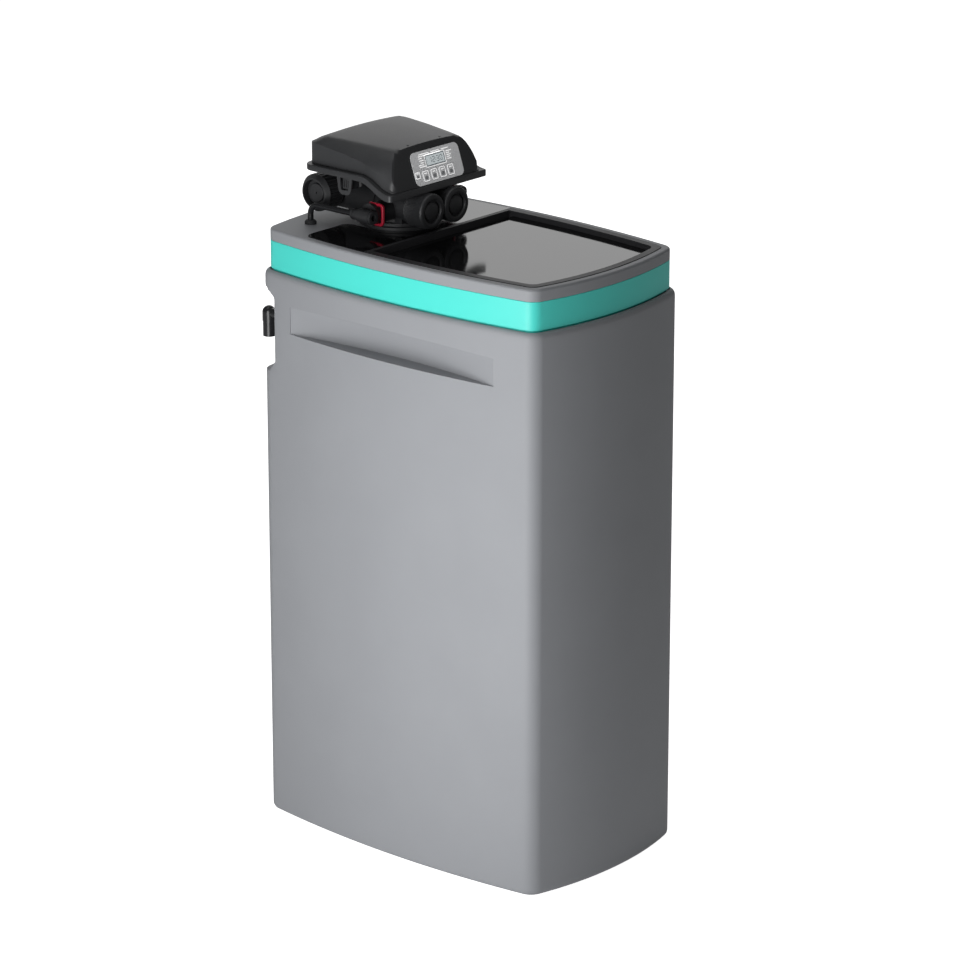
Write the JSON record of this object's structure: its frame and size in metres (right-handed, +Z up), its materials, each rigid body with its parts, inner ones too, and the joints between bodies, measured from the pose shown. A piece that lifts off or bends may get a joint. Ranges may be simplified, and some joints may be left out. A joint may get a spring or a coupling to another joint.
{
  "type": "water softener",
  "caption": "Compact cabinet water softener: bowed grey cabinet with side grips, teal band, gloss black salt lid, and a control valve with a clip-on cover on the deck.",
  "frame": {"origin": "middle of the footprint on the floor", "axes": "+Z up, front with the salt lid and control panel towards -Y, +X to the right seen from the front"},
  "size_m": [0.3302, 0.5136, 0.9496],
  "materials": {
    "grey_plastic": "fine grain satin",
    "teal_plastic": "satin",
    "gloss_black": "mirror gloss",
    "valve_black": "fine grain matt",
    "black_rubber": "matt",
    "tube_black": "satin",
    "crimson_plastic": "satin",
    "steel": "turned",
    "white_plastic": "moulded",
    "tank_blue": "wound glass fibre in resin",
    "resin": "wet beads",
    "overlay_grey": "printed film",
    "key_grey": "satin",
    "screen": "polarised film",
    "board_green": "solder resist"
  },
  "bodies": {
    "cabinet": {"cabinet_body": "grey_plastic", "trim_band": "teal_plastic", "top_cover": "grey_plastic", "rear_panel": "gloss_black", "salt_frame": "gloss_black", "salt_grid": "white_plastic", "brine_well": "white_plastic", "well_cap": "valve_black", "safety_valve": "valve_black", "brine_tube": "tube_black", "tube_grommet": "black_rubber", "overflow_elbow": "valve_black", "overflow_grommet": "black_rubber", "resin_tank": "tank_blue", "tank_boot": "valve_black", "resin_bed": "resin", "riser_tube": "white_plastic", "bottom_strainer": "white_plastic", "top_strainer": "white_plastic", "neck_o_ring": "black_rubber", "deck_collar": "valve_black", "valve_body": "valve_black", "drive_motor": "steel", "drive_base": "valve_black", "base_screws": "steel", "end_cap_left": "valve_black", "end_cap_right": "valve_black", "injector": "white_plastic", "filter_screen": "white_plastic", "port_plug_left": "valve_black", "port_plug_right": "valve_black", "turbine_pin": "steel", "brine_elbow": "valve_black", "drain_elbow": "valve_black"},
    "lid": {"salt_lid": "gloss_black", "hinge_pins": "steel"},
    "cover": {"control_cover": "valve_black", "panel_overlay": "overlay_grey", "lcd": "screen", "circuit_board": "board_green"},
    "rotor": {"rotor_disc": "white_plastic", "drive_shaft": "steel", "drive_gear": "white_plastic"},
    "pinion": {"motor_pinion": "steel"},
    "turbine": {"turbine": "white_plastic"},
    "nut_left": {"union_nut_left": "valve_black"},
    "nut_right": {"union_nut_right": "valve_black"},
    "clip_left": {"brine_clip": "crimson_plastic"},
    "clip_right": {"drain_clip": "crimson_plastic"},
    "float": {"brine_float": "white_plastic"},
    "key_1": {"button_1": "key_grey"},
    "key_2": {"button_2": "key_grey"},
    "key_3": {"button_3": "key_grey"},
    "key_4": {"button_4": "key_grey"},
    "key_5": {"button_5": "key_grey"}
  },
  "joints": [
    {"name": "salt_lid_hinge", "type": "hinge", "parent": "cabinet", "child": "lid", "pos_m": [0, 0.0424, 0.8157], "axis": [-1, 0, 0], "range_deg": [0, 68]},
    {"name": "cover_lift", "type": "slide", "parent": "cabinet", "child": "cover", "axis": [0, 0, 1], "range_m": [0, 0.08]},
    {"name": "key_1_press", "type": "slide", "parent": "cover", "child": "key_1", "axis": [0, 0.9444, -0.3289], "range_m": [0, 0.0005], "stiffness_N_per_m": 2000},
    {"name": "key_2_press", "type": "slide", "parent": "cover", "child": "key_2", "axis": [0, 0.9444, -0.3289], "range_m": [0, 0.0005], "stiffness_N_per_m": 2000},
    {"name": "key_3_press", "type": "slide", "parent": "cover", "child": "key_3", "axis": [0, 0.9444, -0.3289], "range_m": [0, 0.0005], "stiffness_N_per_m": 2000},
    {"name": "key_4_press", "type": "slide", "parent": "cover", "child": "key_4", "axis": [0, 0.9444, -0.3289], "range_m": [0, 0.0005], "stiffness_N_per_m": 2000},
    {"name": "key_5_press", "type": "slide", "parent": "cover", "child": "key_5", "axis": [0, 0.9444, -0.3289], "range_m": [0, 0.0005], "stiffness_N_per_m": 2000},
    {"name": "rotor_turn", "type": "hinge", "parent": "cabinet", "child": "rotor", "pos_m": [0, 0.1244, 0.9286], "axis": [0, 0, 1], "continuous": true},
    {"name": "pinion_turn", "type": "hinge", "parent": "cabinet", "child": "pinion", "pos_m": [-0.0439, 0.1244, 0.9286], "axis": [0, 0, 1], "continuous": true},
    {"name": "turbine_spin", "type": "hinge", "parent": "cabinet", "child": "turbine", "pos_m": [0.021, 0.21, 0.8666], "axis": [1, 0, 0], "continuous": true},
    {"name": "nut_left_turn", "type": "hinge", "parent": "cabinet", "child": "nut_left", "pos_m": [-0.059, 0.21, 0.8666], "axis": [-1, 0, 0], "continuous": true},
    {"name": "nut_right_turn", "type": "hinge", "parent": "cabinet", "child": "nut_right", "pos_m": [0.059, 0.21, 0.8666], "axis": [1, 0, 0], "continuous": true},
    {"name": "clip_left_pull", "type": "slide", "parent": "cabinet", "child": "clip_left", "axis": [0, -1, 0], "range_m": [0, 0.03]},
    {"name": "clip_right_pull", "type": "slide", "parent": "cabinet", "child": "clip_right", "axis": [0, -1, 0], "range_m": [0, 0.03]},
    {"name": "float_rise", "type": "slide", "parent": "cabinet", "child": "float", "axis": [0, 0, 1], "range_m": [0, 0.025]}
  ],
  "couplings": [
    {"joint": "pinion_turn", "follows": "rotor_turn", "ratio": -4}
  ]
}
